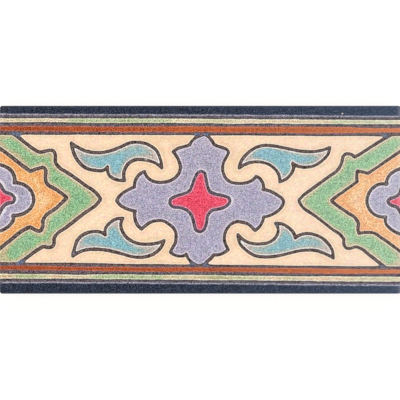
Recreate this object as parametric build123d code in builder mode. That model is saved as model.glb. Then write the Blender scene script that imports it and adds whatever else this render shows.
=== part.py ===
"""A pressed clay border tile: one fired piece, lying on its back with its glazed face up.

The origin is at the middle of the back, X runs along the border and Z comes out of the face. All sizes are
in millimetres.
"""

import os

from build123d import *

# The tile: nominal 6 by 3 inches, made 1/8 and 1/4 inch under so that it fits its grid with a grout joint.
tile_length = 149.2
tile_width = 69.9
tile_thickness = 9.5
corner_radius = 1.0  # of the plan's four corners
edge_land = 3.0  # height of the upright side below the face, where neighbouring tiles meet
side_draft = 2.0  # degrees, below the land, so that the tile leaves its mould
face_edge_radius = 0.8  # where the glaze rolls over the edge of the face
back_edge_chamfer = 0.6

# Keys: shallow blind grooves along the back, which the mortar grips.
key_count = 4
key_width = 8.0
key_pitch = 14.5
key_depth = 1.0
key_end_margin = 9.0  # plain back left between a key and the end of the tile
key_flank_angle = 20.0  # degrees, so that the keys leave the mould too

# Dry lines: channels in the face that keep the glazes apart.
line_width = 1.2
line_depth = 0.4
stripe_line_insets = (3.6, 6.7, 10.2)  # from the long edge to the middle of each straight line

# Ornament: dry lines that repeat about both middles of the face, so a quarter of it is set out on squared paper.
# Each place is (column, row), counted from the middle of the tile, and each line is a chain of arcs, from one
# place through the second to the third.
columns_to_end = 20.0
rows_to_stripes = 6.6
star = (
    ((0, 3.0), (0.4, 2.83), (0.55, 2.5)),  # tip of an arm
    ((0.55, 2.5), (0.72, 1.95), (0.85, 1.4)),
    ((0.85, 1.4), (1.02, 1.02), (1.4, 0.85)),  # round between two arms
    ((1.4, 0.85), (1.95, 0.72), (2.5, 0.55)),
    ((2.5, 0.55), (2.83, 0.4), (3.0, 0)),
)
medallion = (
    ((0, 6.5), (0.8, 6.25), (1.3, 5.5)),  # crown, under the stripes
    ((1.3, 5.5), (2.1, 5.27), (2.85, 4.95)),  # shoulder
    ((2.85, 4.95), (2.83, 2.43), (5.6, 2.8)),  # waist, round the head of a leaf
    ((5.6, 2.8), (6.2, 2.1), (6.42, 1.3)),  # cheek
    ((6.42, 1.3), (7.6, 0.85), (8.3, 0)),  # point at the side
)
leaf_back = (
    ((3.75, 3.4), (4.55, 5.05), (7.9, 5.45)),  # from the head, over the crest
    ((7.9, 5.45), (10.3, 4.87), (13.0, 5.6)),  # to the tip
)
leaf_belly = (
    ((13.0, 5.6), (11.8, 3.65), (9.9, 3.0)),  # from the tip
    ((9.9, 3.0), (9.55, 3.15), (9.35, 3.55)),  # into the notch
    ((9.35, 3.55), (8.95, 2.5), (7.7, 1.95)),  # barb
    ((7.7, 1.95), (7.2, 3.6), (5.8, 4.14)),  # throat, round the medallion
    ((5.8, 4.14), (4.75, 3.95), (3.75, 3.4)),  # back to the head
)
end_medallion = (
    ((20.4, 3.6), (18.9, 3.0), (18.58, 1.75)),  # from past the end of the tile
    ((18.58, 1.75), (17.1, 1.2), (16.65, 0)),
)
end_star = (
    ((20.4, 1.75), (19.75, 1.0), (19.1, 0.6)),
    ((19.1, 0.6), (18.75, 0.35), (18.6, 0)),
)
chevrons = (
    ((18.3, 6.6), (16.0, 4.7), (14.75, 5.0), (14.4, 3.9), (9.95, 0)),  # outer, straight runs from the stripes
    ((20.4, 5.4), (16.85, 2.85), (15.65, 3.15), (15.55, 1.85), (13.3, 0)),  # inner, from past the end
)
chevron_step_radius = 0.9

key_length = tile_length - 2 * key_end_margin
column_width = tile_length / 2 / columns_to_end
row_height = (tile_width / 2 - stripe_line_insets[-1]) / rows_to_stripes


def places(line):
    """These places of the ornament, in millimetres from the middle of the face."""
    return [(column * column_width, row * row_height) for column, row in line]


with BuildPart() as border_tile:
    # The side is upright from the face down to the land, and drafted from there to the back.
    with BuildSketch(Plane.XY.offset(tile_thickness - edge_land)):
        RectangleRounded(tile_length, tile_width, corner_radius)
    extrude(amount=edge_land)
    extrude(border_tile.faces().sort_by(Axis.Z)[0], amount=tile_thickness - edge_land, taper=side_draft)
    fillet(border_tile.edges().group_by(Axis.Z)[-1], face_edge_radius)
    chamfer(border_tile.edges().group_by(Axis.Z)[0], back_edge_chamfer)

    # Keys in the back.
    with BuildSketch(Plane.XY):
        with GridLocations(0, key_pitch, 1, key_count):
            SlotOverall(key_length, key_width)
    extrude(amount=key_depth, taper=key_flank_angle, mode=Mode.SUBTRACT)

    # Dry lines in the face: the straight ones along both long edges, and the ornament between them.
    with BuildSketch(Plane.XY.offset(tile_thickness)):
        for inset in stripe_line_insets:
            with Locations((0, tile_width / 2 - inset)):
                Rectangle(tile_length, line_width)
        for line in (star, medallion, leaf_back, leaf_belly, end_medallion, end_star):
            with BuildLine():
                for arc in line:
                    ThreePointArc(*places(arc))
                offset(amount=line_width / 2)
            make_face()
        for line in chevrons:
            with BuildLine():
                FilletPolyline(*places(line), radius=chevron_step_radius)
                offset(amount=line_width / 2)
            make_face()
        mirror(about=Plane.YZ)
        mirror(about=Plane.XZ)
    extrude(amount=-line_depth, mode=Mode.SUBTRACT)

border_tile.part.label = "border_tile"

os.makedirs("parts", exist_ok=True)
export_step(border_tile.part, "parts/border_tile.step")
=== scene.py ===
import bpy
import numpy as np
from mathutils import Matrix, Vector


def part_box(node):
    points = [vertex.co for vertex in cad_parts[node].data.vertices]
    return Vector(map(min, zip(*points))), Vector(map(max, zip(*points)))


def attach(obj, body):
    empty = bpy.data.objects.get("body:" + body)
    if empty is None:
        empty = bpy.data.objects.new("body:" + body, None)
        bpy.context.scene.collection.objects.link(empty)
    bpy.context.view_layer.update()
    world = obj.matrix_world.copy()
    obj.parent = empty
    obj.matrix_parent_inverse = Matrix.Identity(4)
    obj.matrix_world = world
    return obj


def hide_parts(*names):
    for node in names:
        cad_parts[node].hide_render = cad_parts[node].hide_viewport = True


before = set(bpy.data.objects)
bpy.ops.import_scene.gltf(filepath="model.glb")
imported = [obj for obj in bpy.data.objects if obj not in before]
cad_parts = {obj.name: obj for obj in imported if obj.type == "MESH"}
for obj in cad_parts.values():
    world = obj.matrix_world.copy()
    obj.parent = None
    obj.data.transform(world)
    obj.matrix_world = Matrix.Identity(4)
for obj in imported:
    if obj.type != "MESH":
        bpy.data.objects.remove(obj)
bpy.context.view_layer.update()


# THE TILE. A slab of pressed clay, bare on its back and sides, with nine glazes on its face. The pattern is
# drawn on the dry clay in dark lines of wax and metal oxide. Each colour is then trailed into its own pool,
# and in the kiln the lines keep the pools apart.

# Its sizes come from the CAD piece, in millimetres.
lowest, highest = (1000 * np.array(corner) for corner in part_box("border_tile"))
tile_length, tile_width, tile_thickness = highest - lowest
half_length, half_width = tile_length / 2, tile_width / 2
corner_radius = 1.0  # of the four corners, seen from above
rolled_edge = 0.8  # radius of the glaze where it rolls over the edge of the face

# The lines are drawn by hand, so no two leaves are alike, and their places are read from the picture in
# pixels. The tile's rolled ends fall just outside it. A line is a list of stretches between sharp turns.
picture_width = 400
picture_middle = (200.3, 199.75)
picture_span = 148.7  # millimetres of the face across the picture
stripe_lines = [  # from the top down, each knot with the line's width there, in millimetres
    [(-6, 116.5, 1.2), (60, 116.8, 1.15), (150, 117.0, 1.1), (250, 117.6, 1.1), (340, 118.3, 1.05),
     (406, 118.7, 1.15)],
    [(-6, 124.3, 1.45), (25, 124.1, 1.55), (60, 124.2, 1.45), (80, 124.6, 1.35), (150, 124.7, 1.3),
     (200, 124.7, 1.2), (225, 125.1, 1.1), (250, 125.1, 1.2), (312, 125.4, 1.05), (340, 125.6, 1.15),
     (376, 126.2, 1.4), (406, 126.1, 1.5)],
    [(-6, 132.9, 1.5), (25, 133.0, 1.3), (100, 133.3, 1.2), (150, 133.5, 1.15), (232, 134.0, 1.1),
     (280, 134.3, 1.1), (312, 134.7, 1.0), (344, 134.5, 1.2), (406, 134.3, 1.4)],
    [(-6, 263.7, 1.35), (40, 264.2, 1.05), (70, 264.6, 1.55), (104, 265.1, 1.25), (150, 265.7, 1.2),
     (200, 266.0, 1.1), (250, 266.4, 1.05), (300, 266.9, 0.95), (340, 267.5, 1.15), (406, 268.0, 1.2)],
    [(-6, 271.8, 1.5), (40, 272.1, 1.3), (80, 272.7, 1.6), (104, 272.7, 1.2), (150, 273.2, 1.1),
     (200, 273.4, 1.2), (255, 274.0, 1.35), (300, 274.7, 1.1), (340, 275.0, 1.0), (406, 275.0, 1.3)],
    [(-6, 280.4, 1.15), (62, 280.2, 1.25), (130, 280.8, 1.05), (250, 281.8, 1.1), (340, 282.8, 1.05),
     (406, 283.1, 1.15)],
]
medallion = [
    [(189.8, 144.8), (192, 141), (195, 138.3), (199.2, 136.2)],  # crown
    [(204.3, 134.2), (207.2, 136), (210.2, 138.7)],
    [(214, 144.5), (218.4, 146.4), (223.4, 147.9), (226.9, 149.6), (228.5, 152.3), (227.2, 155.6),
     (224.2, 161), (222.6, 167), (223.3, 173), (225.7, 178), (230.2, 181.8), (236, 183.3), (242, 183.4),
     (248.1, 182.3), (252.9, 179.9)],  # waist round the upper right leaf
    [(256.1, 176.4), (259.2, 177.9), (261.9, 181.2), (263.5, 185.3)],
    [(263.1, 189.5), (267.4, 190.3), (272.6, 192.3), (277.9, 195.4), (282.1, 198.5)],
    [(283.9, 201.9), (282.2, 206), (278.2, 210.7), (272.6, 214.3), (267.5, 216.3)],
    [(263.5, 216.9), (262.5, 221.4), (260, 226.2)],
    [(255.2, 230.5), (252.3, 227.7), (248, 224), (242.9, 222.4), (237.5, 221.6), (232, 223.4),
     (227.5, 228), (225, 233), (224.3, 238.5), (225.3, 243.7)],  # waist round the lower right leaf
    [(228.6, 249.6), (224.7, 252.2), (219, 254.7)],
    [(213.8, 254.8), (211.5, 257.8), (207.5, 261.2), (204.3, 264.4), (199.5, 265.9), (195, 264.6),
     (191.5, 262.2), (188.6, 259)],  # foot
    [(186.3, 253.8), (184, 255.7), (180.5, 256.1), (176, 255.5)],
    [(170.4, 252.2), (172.3, 248.2), (175, 243.6), (176.1, 238), (175.9, 233.1), (173, 227.6),
     (168, 223.5), (162.5, 220.7), (156.5, 220.7), (150.5, 222.2),
     (145.5, 225.7)],  # waist round the lower left leaf
    [(141.7, 229), (137.7, 225.2), (135.3, 220), (134.6, 215)],
    [(135.2, 211.2), (129.5, 209.8), (123.6, 207.4), (119.5, 204.3)],
    [(116.6, 200.7), (119, 196.6), (123.5, 192.6), (129, 189.4)],
    [(134.6, 187), (134.7, 182.7), (136.6, 178.1), (139.8, 174)],
    [(144.6, 171.4), (145.8, 175), (149, 179), (154.5, 181.7), (161, 182.4), (168, 181.4), (174.5, 178.3),
     (178.7, 173.5), (180.5, 167.5), (179.4, 162.5), (177.2, 157.4)],  # waist round the upper left leaf
    [(173.2, 151.8), (178.5, 148.3), (184.5, 146.6)],
]
star = [
    [(200.8, 171.1), (204.3, 172.5), (205.9, 177.9), (207.8, 186.9), (210, 191.4), (214.8, 193.8),
     (224.8, 196.1), (229.3, 198.3), (229.8, 202), (226.5, 206), (219, 209), (211.9, 210.6),
     (208.2, 214.8), (206.3, 224), (203.6, 230), (200, 231.8), (196, 230), (193.9, 223), (191.6, 215.7),
     (187.7, 210.8), (180, 207.6), (173, 206.9), (170, 203.6), (170.5, 199.3), (174.7, 196.6),
     (184, 193.6), (189.5, 190.8), (192, 185.4), (195.3, 176.9), (197.9, 172.6)],
]
upper_left_leaf = [
    [(71.5, 143.1), (78, 147.5), (88, 151.6), (98, 152.8), (110, 150.9), (121, 146.7), (130, 142.9),
     (139, 142.3), (148.4, 144.7), (155.5, 149.5), (160, 158)],
    [(161.8, 168.1), (155.2, 162.9), (146, 160.2), (138, 159.4), (131, 161.5), (125.6, 167.5),
     (123.6, 174.5)],
    [(124.7, 180.6), (116, 179.5), (109.8, 176)],
    [(107.6, 166.6), (104, 170), (95, 170.3), (86, 168), (79, 162), (74, 153.5)],
]
upper_right_leaf = [
    [(239.2, 167.9), (241.3, 161.2), (247, 153.9), (255, 148), (264, 145.4), (274, 146.1), (287, 148.5),
     (300, 151), (313, 151.7), (323.2, 150)],
    [(329.7, 147.5), (328.3, 153.5), (322, 160.8), (313.5, 166), (304, 167.2), (297, 165.8)],
    [(292.7, 163.2), (293.4, 169), (289.8, 175.6)],
    [(279.8, 181.9), (278.9, 174.8), (273.7, 167.8), (266, 163.3), (257, 161.8), (246.8, 163.7)],
]
lower_left_leaf = [
    [(72.8, 256.1), (74.3, 249), (78.5, 238.7), (86.2, 233.2), (95, 231.5), (101.3, 232.4)],
    [(105.4, 235.1), (105.3, 229), (109.7, 223), (116.2, 219.1)],
    [(122.9, 218.4), (120.8, 224), (122.5, 231.5), (128.2, 238.8), (136.8, 243.1), (148, 244.2),
     (157.6, 242.9)],
    [(164, 240.5), (161.5, 246.5), (154.3, 253.5), (144, 257), (133, 256.8), (120, 253.3), (107, 250.3),
     (95, 249.2), (84, 250.3), (77.4, 253)],
]
lower_right_leaf = [
    [(238.1, 234.7), (239.7, 243.1), (246, 250), (255, 255.6), (266, 257), (279, 255.7), (292, 252.5),
     (305, 250.2), (317, 250.8), (326, 254.1)],
    [(333.3, 258.2), (332.3, 250.5), (326.9, 242.2), (319, 236.3), (310, 233.7), (301, 234.6)],
    [(295.3, 238), (293.5, 232.9), (287.5, 226.9), (281, 223.6)],
    [(275.4, 223.2), (278.2, 229), (276, 237), (270, 241.8), (260, 243.9), (249.3, 242.8),
     (241.6, 238.3)],
]
left_outer_chevron = [
    [(12, 132.5), (16, 135.4), (26, 143.3), (35.1, 150), (38.8, 151.9), (48, 150.6), (52.4, 150.3),
     (54.8, 153.3), (55.5, 157.5), (55.2, 161.5), (57.5, 165.5), (70, 174.3), (85, 185), (97.4, 194.5),
     (100.2, 199.3), (98, 202.7), (84, 213.5), (64.5, 228.6), (56.3, 234.6), (54.1, 239), (54.2, 242.9),
     (52.4, 246.5), (48.5, 247.5), (43.5, 246.6), (38.2, 249.5), (26.7, 257.7), (18.8, 263.5)],
]
left_inner_chevron = [
    [(-6, 144.4), (9, 155), (24.2, 166.9)],
    [(30.5, 171.3), (38, 168.5), (43.5, 167.6), (45.5, 169.7), (45.3, 178), (47, 183.6), (56.4, 189.6),
     (64.5, 195.6), (66.8, 197.7), (64.2, 200.4), (55, 209), (46.2, 215.3), (43.1, 220), (42.9, 226),
     (40, 231.2), (35, 229.8), (29.8, 227.4), (24.2, 229.7), (10, 240.5), (-6, 253.1)],
]
left_half_medallion = [
    [(-6, 164.2), (5, 166.4), (11.5, 171), (14.6, 178)],
    [(14.6, 182.9), (22, 184), (28.5, 188), (32.7, 194.3), (33.6, 201), (30.7, 208.1), (24.8, 212.8)],
    [(13.1, 215.4), (13.3, 219.6), (9.1, 225.7), (3.9, 229.4), (-6, 232)],
]
left_half_star = [
    [(-3, 180.5), (0, 184.6), (2.2, 188.2), (4.9, 191.8), (11.8, 194.6), (14.6, 198.2), (13.5, 201.7),
     (7.5, 203.4), (3, 206.8), (0.7, 211.3), (-1, 214.5), (-3, 221)],
]
right_outer_chevron = [
    [(391.5, 134.5), (387, 137.2), (378.5, 142.3), (366.5, 149.9), (357, 155.8)],
    [(354.6, 157), (350, 154.1), (346, 153.9), (343.4, 156), (341.5, 163.3), (338.5, 169), (327, 178),
     (311.3, 189.4), (301.7, 197), (299, 200.6), (301, 204.8), (316, 216.5), (332, 229), (341.5, 236),
     (343.8, 239.5), (343.9, 244), (346.3, 248), (350, 248.5), (356, 246.9), (361, 248.7), (370.8, 256.1),
     (383.8, 266.3)],
]
right_inner_chevron = [
    [(406, 147.7), (390.2, 158.2), (373.3, 169.8)],
    [(367.9, 173.4), (362, 171.7)],
    [(357.4, 170.9), (356.8, 176)],
    [(357.2, 181.6), (353.6, 184.3), (342.5, 192.2), (333.4, 198.8), (331.6, 200.5), (334.2, 203.1),
     (347, 212.3), (355.5, 218.3), (358.4, 224), (358, 229.5)],
    [(359.3, 233.5), (366, 232.5), (372.6, 232.7), (382.3, 238.4), (394.2, 246.9), (406, 256.4)],
]
right_half_medallion = [
    [(406, 167.8), (395.2, 170.8), (389.4, 175.3), (386.9, 180.4)],
    [(386.7, 184.3), (379, 184.3), (372.2, 188.6), (368.2, 195), (367.1, 203), (370.5, 210.7),
     (377.5, 216)],
    [(385.8, 217), (385.7, 222.6), (391, 229.3), (396.1, 232.3), (406, 235.6)],
]
right_half_star = [
    [(406, 183.5), (401.6, 187.4), (399.8, 192.6), (395.4, 197), (389.5, 198.9), (388, 201.2),
     (390.6, 204.9), (396.7, 207), (399.6, 210.8), (401.6, 214.4), (406, 217.6)],
]
oxide_spots = [  # where the oxide collects, and how much of it
    (10.5, 132.6, 0.6), (14.5, 133.2, 0.9), (18.3, 134.4, 1.0), (19.5, 137, 0.45), (197.3, 134.4, 1.0),
    (206.3, 134.2, 0.9), (386, 135.7, 1.0), (21.6, 261.9, 1.0), (18.6, 263.6, 0.7), (74.2, 253.2, 0.6),
    (192.5, 264.4, 0.85), (205.5, 264.6, 0.8), (381.9, 266.1, 0.85), (387, 184, 0.5), (385.5, 217, 0.5),
    (14.5, 181, 0.42), (14, 216, 0.38), (277, 225, 0.45), (72.8, 147, 0.38),
]
pinholes = [(342.4, 113.6, 1.0), (146.2, 159.6, 1.0)]  # where the glaze left a bare spot, and how bare
curve_step = 0.5  # millimetres between the points of a drawn curve
far_off = 5.0  # millimetres, past which the distance from a line doesn't matter


def on_face(places):
    """Places in the picture as millimetres from the face's middle, with up in the picture along +Y."""
    return (np.array(places, float) - picture_middle) * (1, -1) * picture_span / picture_width


def smooth_stretch(knots, ring=False, overlap=3):
    """Points a step apart on a curve through the knots. From each to the next it is a cubic, whose slopes
    at both are those of the parabola through a knot and its neighbours, by distance along the chords. A
    ring's knots run on past its start, so that it closes smoothly."""
    if ring:
        knots = np.concatenate([knots[-overlap:], knots, knots[:overlap + 1]])
    along = np.concatenate([[0], np.cumsum(np.hypot(*np.diff(knots, axis=0).T))])
    slope = np.gradient(knots, along, axis=0, edge_order=2 if len(knots) > 2 else 1)
    first, last = (along[overlap], along[-overlap - 1]) if ring else (along[0], along[-1])
    at = np.linspace(first, last, max(3, int((last - first) / curve_step)))
    piece = np.clip(np.searchsorted(along, at, side="right") - 1, 0, len(knots) - 2)
    length = np.diff(along)[piece]
    t = ((at - along[piece]) / length)[:, None]
    length = length[:, None]
    start, end = knots[piece], knots[piece + 1]
    rise = (end - start) * t**2 * (3 - 2 * t)
    return start + rise + length * (slope[piece] * t * (1 - t) ** 2 - slope[piece + 1] * t**2 * (1 - t))


def drawn(line, closed=False):
    """A line's stretches one after the other, each run on to the first knot of the next."""
    stretches = [on_face(stretch) for stretch in line]
    if closed and len(stretches) == 1:
        return smooth_stretch(stretches[0], ring=True)
    ends = [following[:1] for following in stretches[1:]] + ([stretches[0][:1]] if closed else [])
    joined = [np.concatenate(pair) for pair in zip(stretches, ends)]
    return np.concatenate([smooth_stretch(stretch) for stretch in joined + stretches[len(ends):]])


def from_curve(x, y, curve):
    """Distance of each point from a curve: the least over its short straight pieces, whose nearest point
    is the foot of the perpendicular, held between the piece's ends. It is far_off at most."""
    away = np.full(x.shape, far_off)
    low, high = curve.min(axis=0) - far_off, curve.max(axis=0) + far_off
    near = (x > low[0]) & (x < high[0]) & (y > low[1]) & (y < high[1])
    start, step = curve[:-1], np.diff(curve, axis=0)
    has_length = (step**2).sum(axis=1) > 1e-9
    start, step = start[has_length], step[has_length]
    dx, dy = x[near][:, None] - start[:, 0], y[near][:, None] - start[:, 1]
    foot = np.clip((dx * step[:, 0] + dy * step[:, 1]) / (step**2).sum(axis=1), 0, 1)
    away[near] = np.minimum(np.hypot(dx - foot * step[:, 0], dy - foot * step[:, 1]).min(axis=1), far_off)
    return away


def inside(x, y, curve):
    """True for points inside a closed curve: a ray from one to +X crosses it an odd number of times."""
    start, end = curve, np.roll(curve, -1, axis=0)
    low, high = curve.min(axis=0), curve.max(axis=0)
    near = (x > low[0]) & (x < high[0]) & (y > low[1]) & (y < high[1])
    px, py = x[near][:, None], y[near][:, None]
    astride = (start[:, 1] > py) != (end[:, 1] > py)
    rise = np.where(start[:, 1] == end[:, 1], 1, end[:, 1] - start[:, 1])
    crossing = start[:, 0] + (py - start[:, 1]) / rise * (end[:, 0] - start[:, 0])
    within = np.zeros(x.shape, bool)
    within[near] = (astride & (crossing > px)).sum(axis=1) % 2 == 1
    return within


stripes = [drawn([[(x, y) for x, y, width in line]]) for line in stripe_lines]
rings = [drawn(line, closed=True) for line in (medallion, star, upper_left_leaf, upper_right_leaf,
                                               lower_left_leaf, lower_right_leaf)]
left_ends = [drawn(line) for line in (left_outer_chevron, left_inner_chevron, left_half_medallion,
                                      left_half_star)]
right_ends = [drawn(line) for line in (right_outer_chevron, right_inner_chevron, right_half_medallion,
                                       right_half_star)]
star_ring = rings[1]
left_outer, left_inner, left_medallion, left_star = left_ends
right_outer, right_inner, right_medallion, right_star = right_ends

# One glaze for each kind of pool, and the bare clay.
finishes = ["cream glaze", "mauve glaze", "red glaze", "turquoise glaze", "green glaze", "orange glaze",
            "rust glaze", "straw glaze", "navy glaze", "fired clay"]
cream, mauve, red, turquoise, green, orange, rust, straw, navy, clay = range(len(finishes))
outside = half_length + 20  # well past the tile's end, where the pools that it cuts are closed


def glaze_at(x, y):
    """Which glaze each point of the face has: the ornament's pools in order, then the stripes."""
    glaze = np.full(x.shape, cream)
    for ends, beyond in ((left_ends, -outside), (right_ends, outside)):
        for curve, kind in zip(ends, (green, orange, mauve, red)):
            past_the_end = [(beyond, curve[-1, 1]), (beyond, curve[0, 1])]
            glaze[inside(x, y, np.concatenate([curve, past_the_end]))] = kind
    for curve, kind in zip(rings, (mauve, red) + 4 * (turquoise,)):
        glaze[inside(x, y, curve)] = kind
    for curves, side in ((stripes[2::-1], 1), (stripes[3:], -1)):  # outwards from the middle
        for curve, kind in zip(curves, (rust, straw, navy)):
            glaze[side * (y - np.interp(x, curve[:, 0], curve[:, 1])) > 0] = kind
    return glaze


# The face is a grid of points about a third of a millimetre apart, closer together over the rolled edge.
# The square grid's corners are drawn in to the rounded plan.
roll_steps = 4
roll = rolled_edge * (1 - np.cos(np.radians(np.linspace(0, 90, roll_steps + 1))))


def grid_lines(half, spacing=0.37):
    """Grid lines from one edge to the other: at the steps of the roll, then evenly spaced."""
    even = np.linspace(rolled_edge - half, half - rolled_edge, int(2 * (half - rolled_edge) / spacing) + 1)
    return np.concatenate([roll[:-1] - half, even, half - roll[-2::-1]])


grid_x, grid_y = np.meshgrid(grid_lines(half_length), grid_lines(half_width), indexing="ij")
columns, rows = grid_x.shape
past_x = np.clip((np.abs(grid_x) - half_length + corner_radius) / corner_radius, 0, 1)
past_y = np.clip((np.abs(grid_y) - half_width + corner_radius) / corner_radius, 0, 1)
face_x = grid_x - np.sign(grid_x) * corner_radius * past_x * (1 - np.sqrt(1 - past_y**2 / 2))
face_y = grid_y - np.sign(grid_y) * corner_radius * past_y * (1 - np.sqrt(1 - past_x**2 / 2))

# How far each point of the face is from the edge of the nearest dry line, less than nothing on the line.
# The drawn width swells and thins a little on its way, and the lines towards the left end are heavier.
ornament_line_width = 1.18
other_widths = [(star_ring, 1.13), (left_medallion, 1.13), (left_star, 1.01), (right_medallion, 1.15),
                (right_star, 1.28)]
line_swell = 0.05
left_weight = 0.12  # added to each side of the ornament's lines at the left end
oxide_reach_x, oxide_reach_y = 1.5, 0.8
oxide_widening = 0.35  # on each side of a line where oxide collects
pinhole_reach = 0.4


def waves(across, sway, sway_along, along, start):
    """Low waves over the face, from -1 to 1: a sine of x that sways with y, times a sine of y."""
    return np.sin(across * face_x + sway * np.sin(sway_along * face_y)) * np.sin(along * face_y + start)


def width_along(line):
    """A stripe line's width at each point of the face, between the widths that are given along it."""
    knots = np.array(line)
    return np.interp(face_x, on_face(knots[:, :2])[:, 0], knots[:, 2])


def strongest(places, reach_x, reach_y):
    """The greatest of the places' amounts at each point of the face, each falling off round its place as a
    bell curve, with its own reach in x and in y."""
    middle_x, middle_y = on_face([(x, y) for x, y, amount in places]).T
    amounts = [amount for x, y, amount in places]
    squared_x = ((face_x[..., None] - middle_x) / reach_x) ** 2
    squared_y = ((face_y[..., None] - middle_y) / reach_y) ** 2
    return (amounts * np.exp(-squared_x - squared_y)).max(axis=2)


to_ornament = np.min([from_curve(face_x, face_y, np.concatenate([ring, ring[:1]])) for ring in rings]
                     + [from_curve(face_x, face_y, curve) for curve in left_ends + right_ends], axis=0)
for curve, width in other_widths:
    nearest = from_curve(face_x, face_y, curve) == to_ornament
    to_ornament = to_ornament + np.where(nearest, (ornament_line_width - width) / 2, 0)
heavier = left_weight * np.clip(-face_x / half_length, 0, 1)
to_stripes = np.min([from_curve(face_x, face_y, curve) - width_along(line) / 2
                     for curve, line in zip(stripes, stripe_lines)], axis=0)
swell = line_swell * waves(across=0.31, sway=0.5, sway_along=0.23, along=0.27, start=1.1)
from_line = np.minimum(to_ornament - ornament_line_width / 2 - heavier, to_stripes) - swell
oxide = strongest(oxide_spots, oxide_reach_x, oxide_reach_y)
from_line -= oxide_widening * oxide
pinhole = strongest(pinholes, pinhole_reach, pinhole_reach)

# The face lies level between the lines, domes down to them as thick glaze does, and rolls over its edge.
line_depth = 0.34
shoulder_start, shoulder_width = 0.42, 0.72  # the steep fall to a line: from here, and over this much
dome_depth, dome_reach = 0.05, 1.2
ripple_height = 0.012
beyond_x = np.abs(face_x) - half_length + corner_radius
beyond_y = np.abs(face_y) - half_width + corner_radius
from_edge = corner_radius - np.hypot(np.maximum(beyond_x, 0), np.maximum(beyond_y, 0))
from_edge -= np.minimum(np.maximum(beyond_x, beyond_y), 0)
fall = rolled_edge - np.sqrt(rolled_edge**2 - (rolled_edge - np.clip(from_edge, 0, rolled_edge)) ** 2)
into_line = np.clip((shoulder_start - from_line) / shoulder_width, 0, 1)
sunk = line_depth * into_line**2 * (3 - 2 * into_line)
sunk += dome_depth * np.exp(-np.maximum(from_line, 0) / dome_reach)
sunk += ripple_height * (1 + waves(across=0.55, sway=1.3, sway_along=0.21, along=0.6, start=0.4))
face_z = tile_thickness - fall - sunk * (1 - fall / rolled_edge)

# Round the side the glaze runs down to an uneven lip, and below it the clay is bare to the back.
number = np.arange(columns * rows).reshape(columns, rows)
brink = np.concatenate([number[:-1, 0], number[-1, :-1], number[:0:-1, -1], number[0, :0:-1]])
brink_x, brink_y = face_x.ravel()[brink], face_y.ravel()[brink]
turn = 2 * np.pi * np.arange(len(brink)) / len(brink)
lip_level = 7.35  # mean height of the lip above the back
long_waves = 0.22 * np.sin(9 * turn) * np.sin(4 * turn + 1)
short_waves = 0.12 * np.sin(37 * turn + 2 * np.sin(5 * turn))
lip_height = lip_level + long_waves + short_waves
lip_thickness = 0.14
lip_round, lip_foot = 0.12, 0.2  # how far below the full glaze the lip is rounded, and where it ends
lip_round_share = 0.3  # of the lip's thickness, taken off by the rounding
edge_land = 3.0  # height of the upright side
side_draft = 2.0  # degrees
back_chamfer = 0.6


def ring_at(x, y, height, inset):
    """An outline of the tile drawn in on all sides by inset, at a height."""
    x, y = x * (1 - inset / half_length), y * (1 - inset / half_width)
    return np.column_stack([x, y, np.broadcast_to(height, x.shape)])


land_height = tile_thickness - edge_land
drawn_in = lip_thickness + (land_height - back_chamfer) * np.tan(np.radians(side_draft))
side_rings = [
    ring_at(brink_x, brink_y, lip_height, 0),
    ring_at(brink_x, brink_y, lip_height - lip_round, lip_round_share * lip_thickness),
    ring_at(brink_x, brink_y, lip_height - lip_foot, lip_thickness),
    ring_at(brink_x, brink_y, land_height, lip_thickness),
]

# The back is flat, with four blind keys for the mortar. Its outline has a point at each end of each key's
# middle line, and midway between two keys, so that the flat is cut into plain pieces round the keys.
key_count, key_pitch, key_width, key_depth = 4, 14.5, 8.0, 1.0
key_end_margin = 9.0  # from a key to the tile's end
key_flank = 20  # degrees from upright
key_length = tile_length - 2 * key_end_margin
key_narrowing = key_depth * np.tan(np.radians(key_flank))
levels = key_pitch * (np.arange(2 * key_count - 1) / 2 - (key_count - 1) / 2)
corner_step = 22.5  # degrees


def corner_arc(side_x, side_y, first, last):
    """Part of a rounded corner, with points a corner_step apart."""
    angle = np.radians(np.arange(first, last + 1, corner_step))
    return np.column_stack([side_x * (half_length - corner_radius) + corner_radius * np.cos(angle),
                            side_y * (half_width - corner_radius) + corner_radius * np.sin(angle)])


end_points = np.column_stack([np.full(len(levels), half_length), levels])
near_corners = [corner_arc(-1, -1, 225, 270), corner_arc(1, -1, 270, 360)]
far_corners = [corner_arc(1, 1, 0, 90), corner_arc(-1, 1, 90, 180)]
outline = np.concatenate([*near_corners, end_points, *far_corners, (end_points * (-1, 1))[::-1],
                          corner_arc(-1, -1, 180, 225 - corner_step)])
right_points = sum(map(len, near_corners)) + np.arange(len(levels))
left_points = right_points[-1] + 1 + sum(map(len, far_corners)) + np.arange(len(levels))[::-1]
back_rings = [ring_at(*outline.T, back_chamfer, drawn_in), ring_at(*outline.T, 0, drawn_in + back_chamfer)]


def key_outline(middle, height, inset):
    """A slot with round ends, from its right end round: the two straight sides and two half circles."""
    arcs = [(1, 0, 90, 9), (-1, 90, 270, 17), (1, 270, 351, 9)]  # which end, from and to in degrees, points
    degrees = [np.linspace(first, last, count) for end, first, last, count in arcs]
    angle = np.radians(np.concatenate(degrees))
    ends = np.concatenate([np.full(count, end) for end, first, last, count in arcs])
    radius = key_width / 2 - inset
    return np.column_stack([ends * (key_length - key_width) / 2 + radius * np.cos(angle),
                            middle + radius * np.sin(angle), np.full(len(angle), height)])


key_rings = [key_outline(middle, height, inset) for middle in levels[::2]
             for height, inset in ((0, 0), (key_depth, key_narrowing))]

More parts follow.
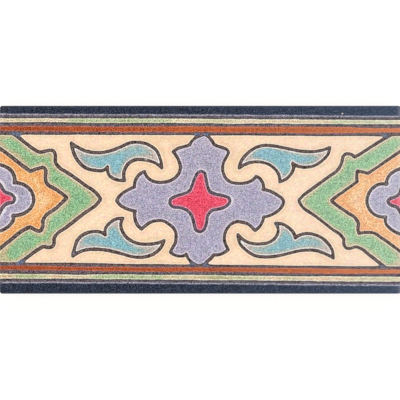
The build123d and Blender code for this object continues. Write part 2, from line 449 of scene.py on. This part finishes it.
# Points and faces, all turned outwards.
face_points = np.column_stack([face_x.ravel(), face_y.ravel(), face_z.ravel()])
all_rings = side_rings + back_rings + key_rings
points = np.concatenate([face_points, *all_rings])
starts = len(face_points) + np.cumsum([0] + [len(ring) for ring in all_rings])
numbers = [np.arange(len(ring)) + start for ring, start in zip(all_rings, starts)]
side_numbers, key_numbers = numbers[:len(side_rings)], numbers[-len(key_rings):]
upper_outline, lower_outline = numbers[len(side_rings):-len(key_rings)]


def band(upper, lower):
    """Four-sided faces between two rings of as many points, outwards where these run anticlockwise."""
    return np.column_stack([upper, lower, np.roll(lower, -1), np.roll(upper, -1)])


def far_round(ring):
    """How far round each side of a ring of points its middle is, as a share of the whole."""
    sides = np.hypot(*(np.roll(ring, -1, axis=0) - ring).T)
    return (np.cumsum(sides) - sides / 2) / sides.sum()


face_quads = np.column_stack([number[:-1, :-1].ravel(), number[1:, :-1].ravel(), number[1:, 1:].ravel(),
                              number[:-1, 1:].ravel()])
lip_quads = np.concatenate([band(brink, side_numbers[0]), band(side_numbers[0], side_numbers[1]),
                            band(side_numbers[1], side_numbers[2])])
land_quads = band(side_numbers[2], side_numbers[3])

# The fine ring above the draft and the coarse one at the chamfer are laced together: a triangle on each
# side of either ring, to the point of the other ring that has been reached.
fine, coarse = side_numbers[3], upper_outline
fine_at, coarse_at = far_round(np.column_stack([brink_x, brink_y])), far_round(outline)
reached_coarse = coarse[np.searchsorted(coarse_at, fine_at) % len(coarse)]
reached_fine = fine[np.searchsorted(fine_at, coarse_at) % len(fine)]
on_fine = np.column_stack([fine, reached_coarse, np.roll(fine, -1)])
on_coarse = np.column_stack([coarse, np.roll(coarse, -1), reached_fine])
chamfer_quads = band(upper_outline, lower_outline)

# Round each key the flat of the back is two pieces, one on each side of the key's middle line.
back_faces = []
last = len(levels) - 1
for key, (mouth, bed) in enumerate(zip(key_numbers[::2], key_numbers[1::2])):
    level, half = 2 * key, len(mouth) // 2
    below = [left_points[level], left_points[level - 1], right_points[level - 1], right_points[level]]
    if level == 0:
        below = [*range(left_points[0], len(outline)), *range(right_points[0] + 1)]
    if level < last:
        above = [right_points[level], right_points[level + 1], left_points[level + 1], left_points[level]]
    else:
        above = [*range(right_points[last], left_points[last] + 1)]
    back_faces.append(np.concatenate([lower_outline[below], mouth[:1], mouth[:half - 1:-1]])[::-1])
    back_faces.append(np.concatenate([lower_outline[above], mouth[half::-1]])[::-1])
    back_faces.extend(band(mouth, bed))
    back_faces.append(bed[::-1])

clay_faces = [*land_quads.tolist(), *on_fine.tolist(), *on_coarse.tolist(), *chamfer_quads.tolist(),
              *(face.tolist() for face in back_faces)]
mesh = bpy.data.meshes.new("glazed_tile")
mesh.from_pydata((points / 1000).tolist(), [], [*face_quads.tolist(), *lip_quads.tolist(), *clay_faces])

# The lip has the glazes of the face just inside the edge, on all of its three bands.
just_inside = 0.995
sharp_edge = 40  # degrees
middles = points[face_quads].mean(axis=1)
brink_middles = just_inside * points[band(brink, side_numbers[0])].mean(axis=1)
finish = np.concatenate([glaze_at(middles[:, 0], middles[:, 1]),
                         np.tile(glaze_at(brink_middles[:, 0], brink_middles[:, 1]), 3),
                         np.full(len(clay_faces), clay)])
mesh.polygons.foreach_set("material_index", finish.astype(np.int32))
mesh.shade_smooth()
mesh.set_sharp_from_angle(angle=np.radians(sharp_edge))

# The straw stripes run to yellow-green in places: (from, to, how green) in the picture.
upper_green_runs = [(68, 172, 1.0), (196, 238, 0.45), (330, 396, 0.8)]
lower_green_runs = [(14, 46, 0.8), (92, 165, 1.0), (165, 190, 0.4), (205, 265, 0.55), (282, 300, 0.4),
                    (352, 400, 0.45)]
run_fade = 10  # pixels of the picture


def run_of_green(x, runs):
    """How green a stripe is at x: each run fades in and out round its ends."""
    at = x / picture_span * picture_width + picture_middle[0]
    return np.max([strength * np.clip(np.minimum(at - first, last - at) / run_fade + 0.5, 0, 1)
                   for first, last, strength in runs], axis=0)


# Where a pool was filled less, or more if it is negative: (x, y, reach, how much shallower) in the picture.
shallow_places = [
    # the leaves
    (80, 151, 6, 0.5), (154, 157, 11, 0.7), (119, 179, 6, 0.9), (113, 161, 10, -0.4), (118, 169, 6, -0.3),
    (106, 165, 5, -0.4), (246, 159, 9, 0.6), (322, 154, 8, 0.7), (283, 177, 6, 0.4), (268, 153, 14, -0.6),
    (286, 167, 9, -0.6), (296, 160, 6, -0.5), (310, 158, 8, -0.3), (79, 248, 5, 0.5), (117, 222, 6, 0.8),
    (155, 248, 11, 0.7), (111, 240, 10, -0.5), (124, 245, 8, -0.3), (245, 244, 8, 0.8), (281, 226, 6, 0.7),
    (327, 251, 8, 0.8), (284, 244, 9, -0.4), (292, 240, 5, -0.3),
    # the outer chevrons
    (48, 155, 7, 0.4), (94, 198, 7, 0.5), (48, 242, 8, 0.2), (4, 145, 7, 0.5), (3, 136, 5, 0.4),
    (13, 139, 5, 0.4), (13, 261, 5, 0.6), (18, 153, 7, 0.4), (2, 257, 9, 1.6), (6, 247, 6, 0.4),
    (22, 257, 7, 0.9), (347, 156, 6, 0.6), (305, 200, 7, 0.3), (349, 246, 5, 0.3), (398, 261, 7, 0.7),
    # the inner chevrons
    (38, 200, 9, -0.5), (58, 198, 11, 0.5), (40, 225, 9, 0.7), (46, 214, 7, 0.4), (41, 173, 7, 0.5),
    (15, 164, 9, 0.3), (31, 175, 6, -0.4), (33, 218, 6, -0.3), (358, 200, 10, -0.2), (342, 200, 6, 0.7),
    (348, 207, 5, 0.4), (363, 228, 6, 0.3), (350, 208, 6, 0.2),
    # the rust stripes
    (180, 129, 25, 0.4), (220, 129, 25, 0.5), (14, 268, 18, -1.0), (215, 270, 14, -0.8),
    (240, 270, 14, -0.6),
    # the straw stripes
    (30, 120, 20, -0.5), (214, 121, 10, -0.5), (384, 122, 10, 0.5), (62, 277, 12, -0.4),
]

# Where the pale rim is wider: (x, y, reach, millimetres), and all along the half medallions' lines.
wide_rims = [(16, 198, 4.5, 0.8), (3, 184, 5, 0.7), (4, 211, 6, 0.6), (232, 200, 4, 0.6)]
half_medallion_rim, half_medallion_reach = 0.25, 0.8

# The chevrons' pools are shallower beside their lines.
chevron_shallows = [(left_outer, 0.34), (left_inner, 0.28), (right_outer, 0.1), (right_inner, 0.12)]
chevron_reach = 0.65


def spread(places):
    """The sum of the places' amounts at each point of the face, each falling off round its place as a bell
    curve."""
    total = np.zeros(face_x.shape)
    for x, y, reach, amount in places:
        (middle_x, middle_y), = on_face([(x, y)])
        squared = (face_x - middle_x) ** 2 + (face_y - middle_y) ** 2
        total += amount * np.exp(-squared / (reach * picture_span / picture_width) ** 2)
    return total


def beside(curve, reach):
    """1 on a drawn line, and beside it falling off with the distance from its edge, over the reach."""
    return np.exp(-np.maximum(from_curve(face_x, face_y, curve) - ornament_line_width / 2, 0) / reach)


shallow, wide_rim = spread(shallow_places), spread(wide_rims)
for curve in (left_medallion, right_medallion):
    wide_rim += half_medallion_rim * beside(curve, half_medallion_reach)
for curve, amount in chevron_shallows:
    shallow += amount * beside(curve, chevron_reach)
run = np.where(face_y > 0, run_of_green(face_x, upper_green_runs), run_of_green(face_x, lower_green_runs))
for name, on_grid, elsewhere in (
    ("from_line", from_line, far_off), ("oxide", oxide, 0.0), ("shallow", shallow, 0.0),
    ("wide_rim", wide_rim, 0.0), ("green_run", run, 0.0), ("pinhole", pinhole, 0.0),
):
    values = np.full(len(points), elsewhere)
    values[:len(face_points)] = on_grid.ravel()
    for ring in side_numbers[:3]:
        values[ring] = on_grid.ravel()[brink]
    mesh.attributes.new(name, "FLOAT", "POINT").data.foreach_set("value", values.astype(np.float32))


# Shader nodes, for the glazes first.
def node(tree, kind, inputs, **settings):
    """A shader node with its settings, and its inputs set to numbers or joined to other nodes' outputs."""
    made = tree.nodes.new("ShaderNode" + kind)
    for name, value in settings.items():
        setattr(made, name, value)
    for key, value in inputs.items():
        if isinstance(value, bpy.types.NodeSocket):
            tree.links.new(value, made.inputs[key])
        else:
            made.inputs[key].default_value = value
    return made


def maths(tree, operation, first, second=0.0, clamp=False):
    """The result of one sum."""
    return node(tree, "Math", {0: first, 1: second}, operation=operation, use_clamp=clamp).outputs[0]


def mixed(tree, share, first, second, way="MIX"):
    """Two colours mixed, share 0 to 1 of the second."""
    return node(tree, "Mix", {0: share, 6: first, 7: second}, data_type="RGBA", blend_type=way).outputs[2]


def ramp(tree, value, start, end, low=0.0, high=1.0):
    """low up to start, high from end, and a smooth step between."""
    return node(tree, "MapRange", {0: value, 1: start, 2: end, 3: low, 4: high},
                interpolation_type="SMOOTHSTEP").outputs[0]


def noise(tree, place, scale, detail, seed):
    """Cloudy noise about 0.5, with so many clouds to the millimetre, as a number and as a colour."""
    shift = (seed, 2.3 * seed, -1.7 * seed)
    moved = node(tree, "VectorMath", {0: place, 1: shift}, operation="ADD").outputs[0]
    inputs = {"Vector": moved, "Scale": scale, "Detail": detail, "Roughness": 0.6}
    return node(tree, "TexNoise", inputs).outputs


def attribute(tree, name):
    """What the mesh keeps at its points under this name."""
    return node(tree, "Attribute", {}, attribute_name=name).outputs["Fac"]


def paint(red_share, green_share, blue_share):
    """A colour as a screen shows it, 0 to 255, as the light it stands for: the sRGB curve."""
    shares = np.array([red_share, green_share, blue_share]) / 255
    light = np.where(shares <= 0.04045, shares / 12.92, ((shares + 0.055) / 1.055) ** 2.4)
    return (*light.tolist(), 1.0)


def millimetres(tree):
    """The place on the tile, in millimetres."""
    place = tree.nodes.new("ShaderNodeTexCoord").outputs["Object"]
    return node(tree, "VectorMath", {0: place, "Scale": 1000.0}, operation="SCALE").outputs[0]


def new_material(name):
    """An empty material with a shader of its own."""
    material = bpy.data.materials.new(name)
    material.use_nodes = True
    return material


def join_surface(tree, colour, roughness, height, bump_strength, specular, bump_distance=0.0003):
    """Joins a colour, a roughness and, through a bump in metres, a height to a material's shader."""
    bump = node(tree, "Bump", {"Strength": bump_strength, "Distance": bump_distance, "Height": height})
    surface = tree.nodes["Principled BSDF"].inputs
    surface["Specular IOR Level"].default_value = specular
    for key, value in (("Base Color", colour), ("Roughness", roughness), ("Normal", bump.outputs[0])):
        tree.links.new(value, surface[key])


# A pool of glaze: thin and pale beside the dry lines and deeper in the middle, with clouds where it was
# trailed on unevenly, grain from its opacifier, a pale rim, and the dark dry line at its edge.
pool = bpy.data.node_groups.new("Glaze pool", "ShaderNodeTree")
# A painted sheen: the whitish veil of reflected light that glazes and lines are mixed towards at the right
# end.
end_sheen_white = (236, 230, 233)
# The End colour and the share of it are the painted sheen towards the right end.
for way, kind, names in (
    # Dry is the colour of the painted highlight along the middle of a line.
    ("INPUT", "Color", ("Glaze", "Deep", "Thin", "Rim", "Line", "Dry", "End")),
    ("INPUT", "Float", ("Pool width", "Rim width", "Rim strength", "Rim gaps", "Clouds", "Grain", "Specks",
                        "Ragged", "Drawn out", "Paler end")),
    ("OUTPUT", "Color", ("Colour",)),
    ("OUTPUT", "Float", ("Roughness", "Height")),
):
    for name in names:
        pool.interface.new_socket(name, in_out=way, socket_type="NodeSocket" + kind)
given = pool.nodes.new("NodeGroupInput").outputs
place = millimetres(pool)
line_distance = attribute(pool, "from_line")
stretch = node(pool, "CombineXYZ", {0: given["Drawn out"], 1: 1.0, 2: 1.0}).outputs[0]
drawn_out = node(pool, "VectorMath", {0: place, 1: stretch}, operation="MULTIPLY").outputs[0]
fine_grain = noise(pool, place, scale=4.6, detail=0.0, seed=3.1)[0]
rough_edge = noise(pool, drawn_out, scale=2.5, detail=1.0, seed=8.3)[0]
coarse_grain = noise(pool, drawn_out, scale=0.62, detail=2.0, seed=11.7)[0]
tints = noise(pool, drawn_out, scale=0.7, detail=1.0, seed=23.9)[1]
clouds = noise(pool, place, scale=0.13, detail=3.0, seed=5.9)[0]
speck_noise = noise(pool, place, scale=3.6, detail=0.0, seed=17.3)[0]
grain_low, grain_high = 0.36, 0.64  # the fine noise is mostly between these
grain = node(pool, "MapRange", {0: fine_grain, 1: grain_low, 2: grain_high, 3: -1.0}).outputs[0]


def product(first, second):
    """Two values of the pool multiplied."""
    return maths(pool, "MULTIPLY", first, second)


def varied(value, clouds, amount):
    """A value with cloudy noise added: what the noise differs from 0.5, times an amount."""
    return maths(pool, "ADD", value, product(maths(pool, "SUBTRACT", clouds, 0.5), amount))


def tinted(colour, strength):
    """A colour times the cloudy tints, which differ from 1 by half the strength at most."""
    factor = node(pool, "VectorMath", {0: tints, 1: 3 * (strength,), 2: 3 * (1 - strength / 2,)},
                  operation="MULTIPLY_ADD").outputs[0]
    return mixed(pool, 1.0, colour, factor, "MULTIPLY")


def grained(colour, amount):
    """A colour with the grain in it: its square root times the grain is added, so that a dark colour shows
    the grain as much as a pale one does."""
    root = node(pool, "Gamma", {0: colour, 1: 0.5}).outputs[0]
    lift = product(grain, amount)
    lifted = node(pool, "VectorMath", {0: root, 1: lift, 2: colour}, operation="MULTIPLY_ADD").outputs[0]
    lifted = node(pool, "VectorMath", {0: lifted, 1: (1, 1, 1)}, operation="MINIMUM").outputs[0]
    return node(pool, "VectorMath", {0: lifted, 1: (0, 0, 0)}, operation="MAXIMUM").outputs[0]


# The glaze by its depth, with its tints and specks.
full_depth, deepest = 0.6, 1.2  # where the pool has its own colour, and its deep one
depth_wander = 0.2
glaze_tint = 0.3
speck_low, speck_high = 0.55, 0.75
filled = maths(pool, "DIVIDE", line_distance, given["Pool width"], clamp=True)
depth = varied(varied(filled, clouds, given["Clouds"]), coarse_grain, depth_wander)
depth = maths(pool, "SUBTRACT", depth, attribute(pool, "shallow"))
colour = mixed(pool, ramp(pool, depth, 0.0, full_depth), given["Thin"], given["Glaze"])
colour = mixed(pool, ramp(pool, depth, full_depth, deepest), colour, given["Deep"])
colour = tinted(colour, glaze_tint)
specked = product(ramp(pool, speck_noise, speck_low, speck_high), given["Specks"])
colour = mixed(pool, specked, colour, given["Rim"])

# The pale rim beside a line, ragged and broken in places.
edge_wander = 0.25  # millimetres
rim_near, rim_far = 0.6, 1.4  # shares of its width between which the rim fades
wide_rim_gain = 0.4  # how much stronger a rim is, for each millimetre that it is wider
gap_low, gap_high = 0.38, 0.58
ragged = varied(varied(line_distance, rough_edge, edge_wander), coarse_grain, given["Ragged"])
wider = attribute(pool, "wide_rim")
rim_reach = maths(pool, "ADD", given["Rim width"], wider)
at_rim = ramp(pool, maths(pool, "DIVIDE", ragged, rim_reach), rim_near, rim_far, 1.0, 0.0)
rim_share = maths(pool, "ADD", given["Rim strength"], product(wider, wide_rim_gain), clamp=True)
gaps = product(ramp(pool, rough_edge, gap_low, gap_high, 1.0, 0.0), given["Rim gaps"])
rim_share = product(rim_share, maths(pool, "SUBTRACT", 1.0, gaps))
colour = mixed(pool, product(at_rim, rim_share), colour, given["Rim"])
colour = grained(colour, given["Grain"])

# Towards the right end the glazes are painted paler, a sheen of reflected light, most of all on the end's
# roll.
sheen_from = -20.0  # millimetres along the tile
sheen_bend = 1.6  # over 1, so that most of the change is near the end
roll_start, roll_end = half_length - 2.0, half_length - 0.2
roll_highlight = 0.2
end_x = node(pool, "SeparateXYZ", {0: place}).outputs[0]
share_of_way = node(pool, "MapRange", {0: end_x, 1: sheen_from, 2: half_length}).outputs[0]
sheen_towards_end = maths(pool, "POWER", share_of_way, sheen_bend)
colour = mixed(pool, product(sheen_towards_end, given["Paler end"]), colour, given["End"])
# A painted highlight on the end's roll, mixed towards the rim colour.
colour = mixed(pool, ramp(pool, end_x, roll_start, roll_end, 0.0, roll_highlight), colour, given["Rim"])

# The dry line, with a painted grey highlight in patches along its middle, and slate where the oxide
# collects.
slate, bare_spot = paint(100, 114, 138), paint(240, 228, 222)
line_softness = 0.05  # millimetres to each side of a line's edge
highlight_from, highlight_to, highlight_share = -0.15, -0.55, 0.85  # millimetres into a line, and how much of the painted highlight it gets
highlight_low, highlight_high = 0.2, 0.5  # of the coarse grain, so that the painted highlight is patchy
line_tint, line_grain, line_sheen = 0.7, 0.38, 0.03
oxide_patches = 0.8
slate_low, slate_high, slate_share = 0.25, 0.75, 0.85
bare_low, bare_high, bare_share = 0.3, 0.8, 0.9
on_line = ramp(pool, ragged, -line_softness, line_softness, 1.0, 0.0)
highlight_patches = ramp(pool, coarse_grain, highlight_low, highlight_high)
highlit_middle = product(ramp(pool, ragged, highlight_to, highlight_from, 1.0, 0.0), highlight_patches)
line_colour = mixed(pool, product(highlit_middle, highlight_share), given["Line"], given["Dry"])
line_colour = tinted(line_colour, line_tint)
patchy_oxide = varied(attribute(pool, "oxide"), coarse_grain, oxide_patches)
with_slate = ramp(pool, patchy_oxide, slate_low, slate_high, 0.0, slate_share)
line_colour = mixed(pool, with_slate, line_colour, slate)
line_colour = grained(line_colour, line_grain)
# The lines get the painted sheen towards the right end too.
line_colour = mixed(pool, product(sheen_towards_end, line_sheen), line_colour, paint(*end_sheen_white))
colour = mixed(pool, on_line, colour, line_colour)
bared = ramp(pool, attribute(pool, "pinhole"), bare_low, bare_high, 0.0, bare_share)
colour = mixed(pool, bared, colour, bare_spot)

# The lines are rougher than the glaze, in sheen and in height.
glaze_roughness, patch_roughness, line_roughness = 0.36, 0.12, 0.36  # added together
glaze_bumps = 0.35  # on the lines they are higher by 1
roughness = maths(pool, "ADD", glaze_roughness, product(coarse_grain, patch_roughness))
roughness = maths(pool, "ADD", roughness, product(on_line, line_roughness))
height = maths(pool, "ADD", product(fine_grain, maths(pool, "ADD", glaze_bumps, on_line)), coarse_grain)
result = pool.nodes.new("NodeGroupOutput").inputs
for name, value in (("Colour", colour), ("Roughness", roughness), ("Height", height)):
    pool.links.new(value, result[name])


# What a glaze has where it names nothing else.
# The dry colour is the painted highlight along the middle of a line.
usual_glaze = {"dry": (117, 96, 91), "end": end_sheen_white, "rim_width": 0.3, "rim_gaps": 0.0, "specks": 0.0,
               "ragged": 0.25, "drawn_out": 1.0}


def glaze_material(name, second_glaze=(), **settings):
    """One glaze: its colours as a screen shows them and how it lies in its pools, by the pool's own names.
    A second glaze has the first four colours again, for where the stripe runs to green."""
    material = new_material(name)
    tree = material.node_tree
    values = {}
    for key, value in (usual_glaze | settings).items():
        values[key.capitalize().replace("_", " ")] = paint(*value) if isinstance(value, tuple) else value
    if second_glaze:
        green_run = attribute(tree, "green_run")
        for key, second in zip(("Glaze", "Deep", "Thin", "Rim"), second_glaze):
            values[key] = mixed(tree, green_run, values[key], paint(*second))
    pooled = node(tree, "Group", values, node_tree=pool).outputs
    join_surface(tree, pooled["Colour"], pooled["Roughness"], pooled["Height"], bump_strength=0.12,
                 specular=0.16)
    return material


# Bare fired clay: a pale buff, cloudy from the kiln, with fine dark and light grog.
fired_clay = new_material(finishes[clay])
tree = fired_clay.node_tree
place = millimetres(tree)
kiln_clouds = ramp(tree, noise(tree, place, scale=0.05, detail=4.0, seed=7.0)[0], 0.3, 0.7)
grog = noise(tree, place, scale=1.6, detail=2.0, seed=21.0)[0]
dark_grog = ramp(tree, grog, 0.64, 0.72, 0.0, 0.55)
light_grog = ramp(tree, grog, 0.3, 0.36, 0.5, 0.0)
dryness = ramp(tree, grog, 0.3, 0.7, 0.92, 0.8)
body = mixed(tree, kiln_clouds, paint(222, 192, 160), paint(203, 168, 134))
body = mixed(tree, dark_grog, body, paint(150, 112, 86))
body = mixed(tree, light_grog, body, paint(240, 222, 198))
pits = noise(tree, place, scale=2.4, detail=3.0, seed=1.0)[0]
join_surface(tree, body, dryness, pits, bump_strength=0.35, specular=0.25)

# The stripes' lines have their own colour for the painted highlight along their middle.
stripe_line_highlight = (111, 95, 97)
# Each glaze's end colour and its share give it the painted sheen towards the right end.
for material in (
    glaze_material(finishes[cream], glaze=(254, 219, 187), deep=(255, 223, 193), thin=(241, 207, 170),
                   rim=(255, 239, 225), line=(63, 37, 20), pool_width=3.2, clouds=1.2, grain=0.13,
                   rim_strength=0.8, rim_width=0.33, paler_end=0.2),
    glaze_material(finishes[mauve], glaze=(175, 167, 187), deep=(169, 163, 186), thin=(182, 172, 189),
                   rim=(236, 228, 236), line=(62, 49, 58), end=(220, 236, 246), pool_width=3.0, clouds=1.4,
                   grain=0.38, rim_strength=0.7, rim_width=0.41, paler_end=0.13),
    glaze_material(finishes[red], glaze=(235, 77, 105), deep=(235, 68, 96), thin=(215, 90, 118),
                   rim=(240, 190, 200), line=(76, 55, 78), dry=(114, 97, 115), pool_width=2.2, clouds=1.0,
                   grain=0.36, rim_strength=0.65, rim_width=0.28, paler_end=0.06),
    glaze_material(finishes[turquoise], glaze=(160, 177, 171), deep=(133, 181, 191), thin=(195, 178, 168),
                   rim=(248, 243, 239), line=(62, 44, 38), pool_width=1.85, clouds=1.0, grain=0.36,
                   specks=0.1, rim_strength=0.92, rim_width=0.36, paler_end=0.1),
    glaze_material(finishes[green], glaze=(150, 186, 140), deep=(138, 184, 140), thin=(195, 182, 142),
                   rim=(243, 231, 218), line=(62, 42, 30), end=(225, 240, 232), pool_width=2.4, clouds=1.2,
                   grain=0.38, specks=0.1, rim_strength=0.75, rim_width=0.34, paler_end=0.13),
    glaze_material(finishes[orange], glaze=(254, 178, 112), deep=(255, 192, 140), thin=(245, 163, 96),
                   rim=(254, 228, 206), line=(66, 37, 23), pool_width=2.6, clouds=1.2, grain=0.38,
                   specks=0.15, rim_strength=0.7, paler_end=0.16),
    glaze_material(finishes[rust], glaze=(180, 79, 29), deep=(161, 67, 23), thin=(187, 93, 44),
                   rim=(192, 136, 119), line=(110, 91, 98), dry=stripe_line_highlight, end=(255, 178, 130),
                   pool_width=0.5, clouds=0.9, grain=0.44, ragged=0.5, drawn_out=0.4, rim_strength=0.25,
                   paler_end=0.36),
    glaze_material(finishes[straw], glaze=(223, 197, 159), deep=(211, 184, 142), thin=(232, 209, 177),
                   rim=(250, 239, 215), line=(66, 57, 56), dry=stripe_line_highlight, pool_width=0.9, clouds=1.2,
                   grain=0.46, ragged=0.5, drawn_out=0.4, rim_strength=0.8, rim_width=0.37, paler_end=0.18,
                   second_glaze=((179, 188, 147), (165, 179, 132), (202, 203, 169), (224, 232, 198))),
    glaze_material(finishes[navy], glaze=(7, 21, 45), deep=(3, 16, 40), thin=(22, 35, 61),
                   rim=(184, 179, 195), line=(96, 90, 101), dry=stripe_line_highlight, end=(160, 190, 230),
                   pool_width=1.2, clouds=1.0, grain=0.5, specks=0.13, rim_gaps=0.6, ragged=0.7,
                   drawn_out=0.6, rim_strength=0.95, rim_width=0.48, paler_end=0.085),
    fired_clay,
):
    mesh.materials.append(material)


def placed(name, data):
    """A new object of the scene, at the origin."""
    made = bpy.data.objects.new(name, data)
    bpy.context.scene.collection.objects.link(made)
    return made


glazed_tile = placed("glazed_tile", mesh)
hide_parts("border_tile")
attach(glazed_tile, "root")


# THE FLOOR. A plain white board that the tile lies on, back down. The camera and the glaze see it as
# white, and it keeps part of the tile's soft shadow.
floor_size = 4.0
floor_height = -0.0001  # a hair under the tile's back
board_white, board_roughness, board_specular = 0.9, 0.9, 0.1
glow_strength, glow_share = 1.06, 0.8


def seen_rays(tree):
    """1 for rays from the camera and those by reflection or through glass, 0 for others."""
    rays = tree.nodes.new("ShaderNodeLightPath").outputs
    camera_or_glossy = maths(tree, "MAXIMUM", rays["Is Camera Ray"], rays["Is Glossy Ray"])
    return maths(tree, "MAXIMUM", camera_or_glossy, rays["Is Transmission Ray"])


floor_corners = floor_size / 2 * np.array([(-1, -1), (1, -1), (1, 1), (-1, 1)])
floor_mesh = bpy.data.meshes.new("floor")
floor_mesh.from_pydata([(x, y, floor_height) for x, y in floor_corners], [], [(0, 1, 2, 3)])
white_board = new_material("white board")
tree = white_board.node_tree
board = tree.nodes["Principled BSDF"]
board.inputs["Base Color"].default_value = (*3 * (board_white,), 1)
board.inputs["Roughness"].default_value = board_roughness
board.inputs["Specular IOR Level"].default_value = board_specular
glow = node(tree, "Emission", {"Color": (1, 1, 1, 1), "Strength": glow_strength})
glowing = maths(tree, "MULTIPLY", seen_rays(tree), glow_share)
both = node(tree, "MixShader", {0: glowing, 1: board.outputs[0], 2: glow.outputs[0]})
tree.links.new(both.outputs[0], tree.nodes["Material Output"].inputs["Surface"])
floor_mesh.materials.append(white_board)
floor = placed("floor", floor_mesh)


# THE LIGHT. Four large soft lamps, one off each side of the tile and about 45 degrees up, so that the face
# is evenly lit and none of them is mirrored in it from above, and a dim white room.
lamp_distance = 0.8
lamp_power = 3.65
lamp_size = 0.6
lamp_tilt = np.radians(45)
room_strength = 0.25
for name, direction_x, direction_y, share in (("left_lamp", -1, 0, 1.0), ("right_lamp", 1, 0, 1.0),
                                              ("near_lamp", 0, -1, 0.9), ("far_lamp", 0, 1, 1.1)):
    lamp = bpy.data.lights.new(name, "AREA")
    lamp.shape = "DISK"
    lamp.size = lamp_size
    lamp.energy = lamp_power * share
    stand = placed(name, lamp)
    stand.location = (lamp_distance * direction_x, lamp_distance * direction_y, lamp_distance)
    stand.rotation_euler = (-lamp_tilt * direction_y, lamp_tilt * direction_x, 0)

room = bpy.data.worlds.new("white room")
room.use_nodes = True
tree = room.node_tree
tree.nodes["Background"].inputs["Color"].default_value = (1, 1, 1, 1)
room_light = ramp(tree, seen_rays(tree), 0.0, 1.0, room_strength, 1.0)
tree.links.new(room_light, tree.nodes["Background"].inputs["Strength"])
bpy.context.scene.world = room
bpy.context.scene.view_settings.view_transform = "Standard"


# THE CAMERA. A long lens looking straight down at the face, as a copying camera does: the tile's length
# fills the picture, and up in the picture is along +Y.
camera_distance = 2.0  # from the face, in metres
camera = bpy.data.cameras.new("camera")
camera.sensor_width = 36
camera.lens = camera.sensor_width * camera_distance * 1000 / picture_span
camera.clip_end = 20
viewpoint = placed("camera", camera)
aside, up = on_face((picture_width / 2, picture_width / 2)) / 1000
viewpoint.location = (aside, up, camera_distance + tile_thickness / 1000)
bpy.context.scene.camera = viewpoint
